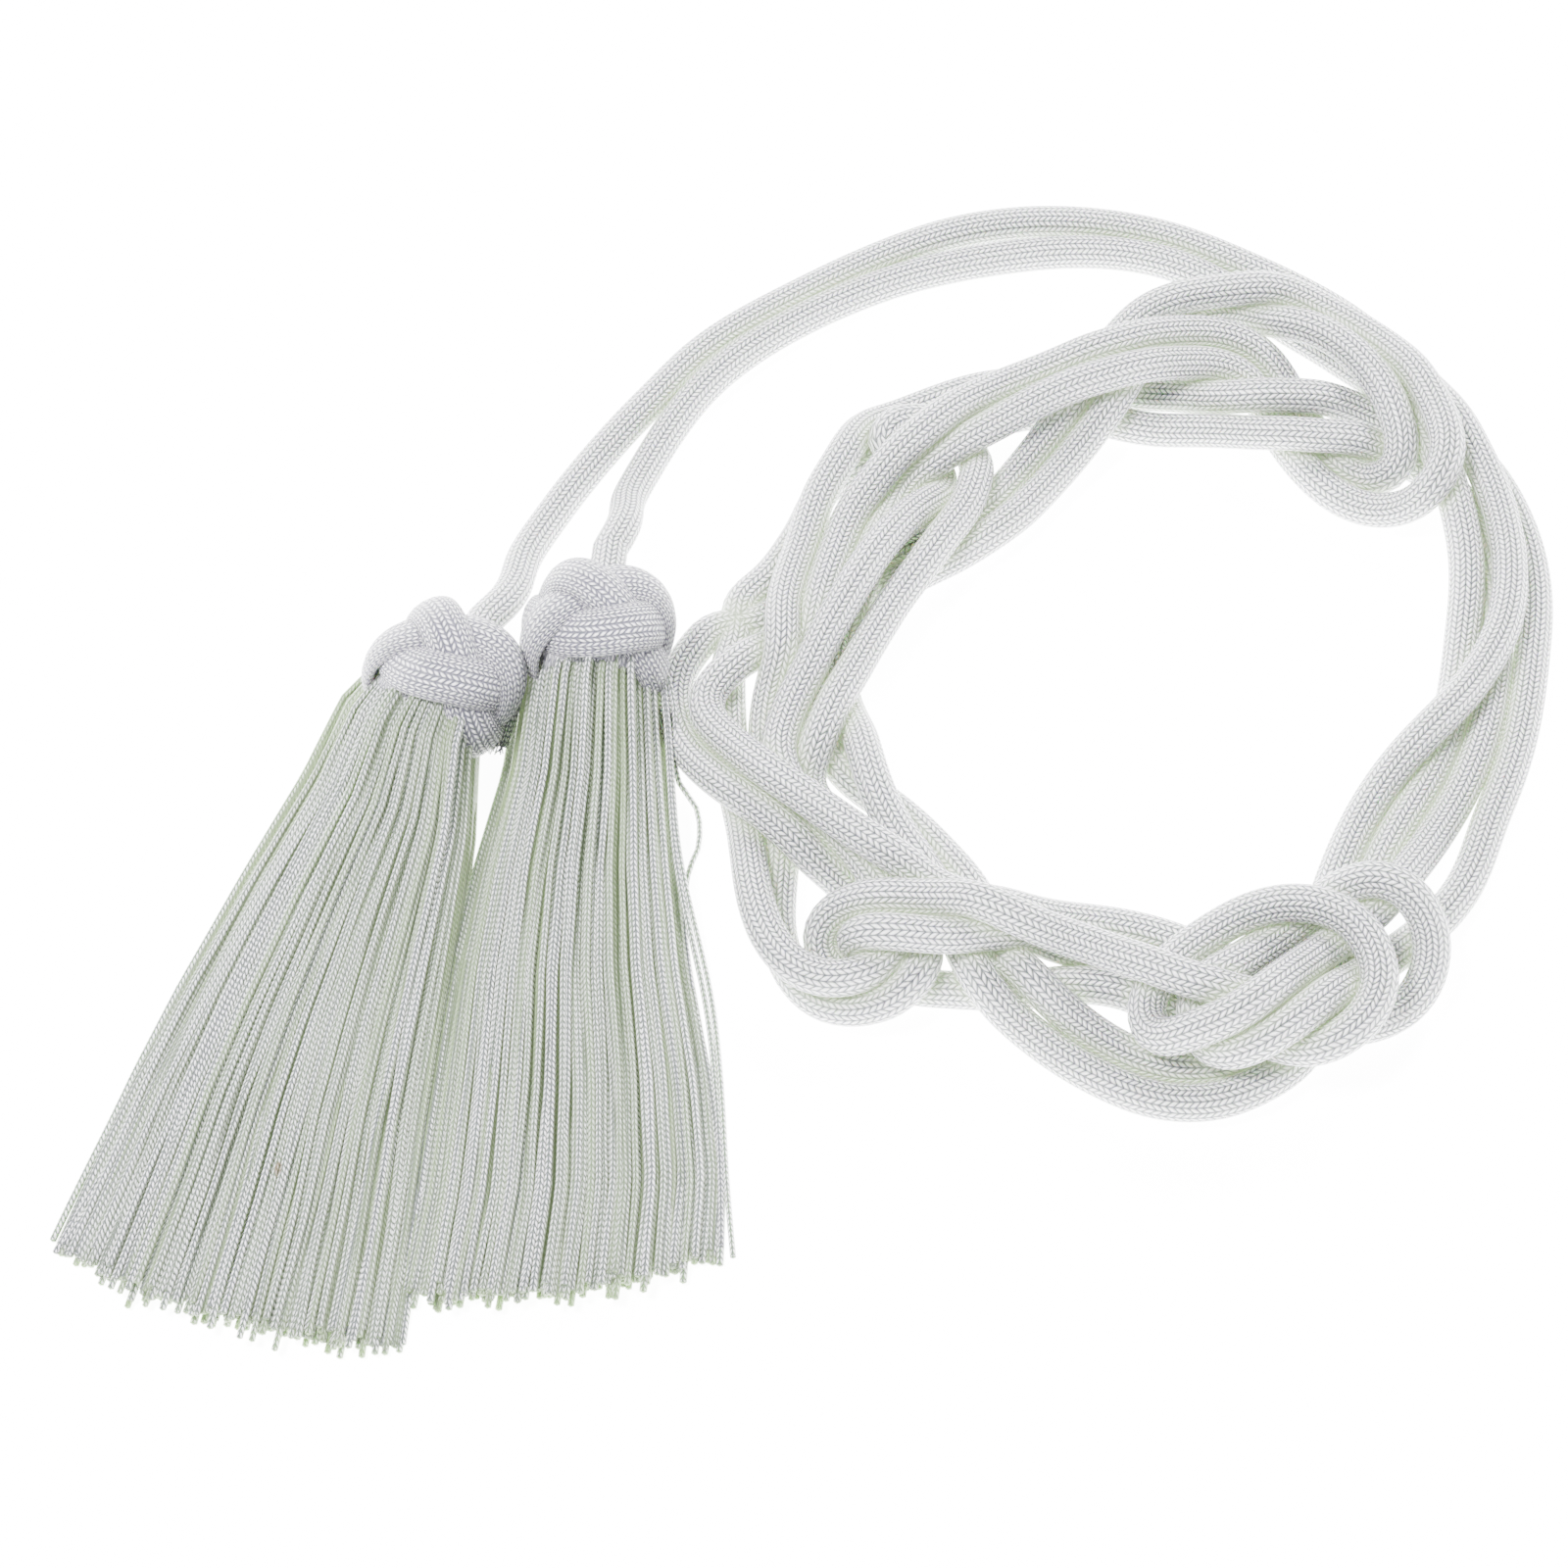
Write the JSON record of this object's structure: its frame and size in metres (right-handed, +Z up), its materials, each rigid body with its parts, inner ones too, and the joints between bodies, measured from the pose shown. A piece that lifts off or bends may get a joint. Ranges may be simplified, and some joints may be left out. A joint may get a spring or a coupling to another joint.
{
  "type": "cincture cord",
  "caption": "Long braided cotton cord, doubled and worked into a loosely knotted ring, with a woven knot and a long stranded tassel on each end, laid on a table.",
  "frame": {"origin": "under the middle of the bounding box, on the table that the cord lies on", "axes": "+Z up from the table, +X to the right across the ring and the tassels, +Y away from the tassels' tips"},
  "size_m": [0.3158, 0.2878, 0.0336],
  "materials": {
    "braided_cotton": "white braided cotton, matt",
    "knitted_band": "white knitted band, matt with a faint sheen",
    "twisted_strands": "white twisted cotton strands, slightly silky"
  },
  "bodies": {
    "root": {"cord": "braided_cotton", "knot_left": "knitted_band", "knot_right": "knitted_band", "skirt_left": "twisted_strands", "skirt_right": "twisted_strands"}
  },
  "joints": []
}
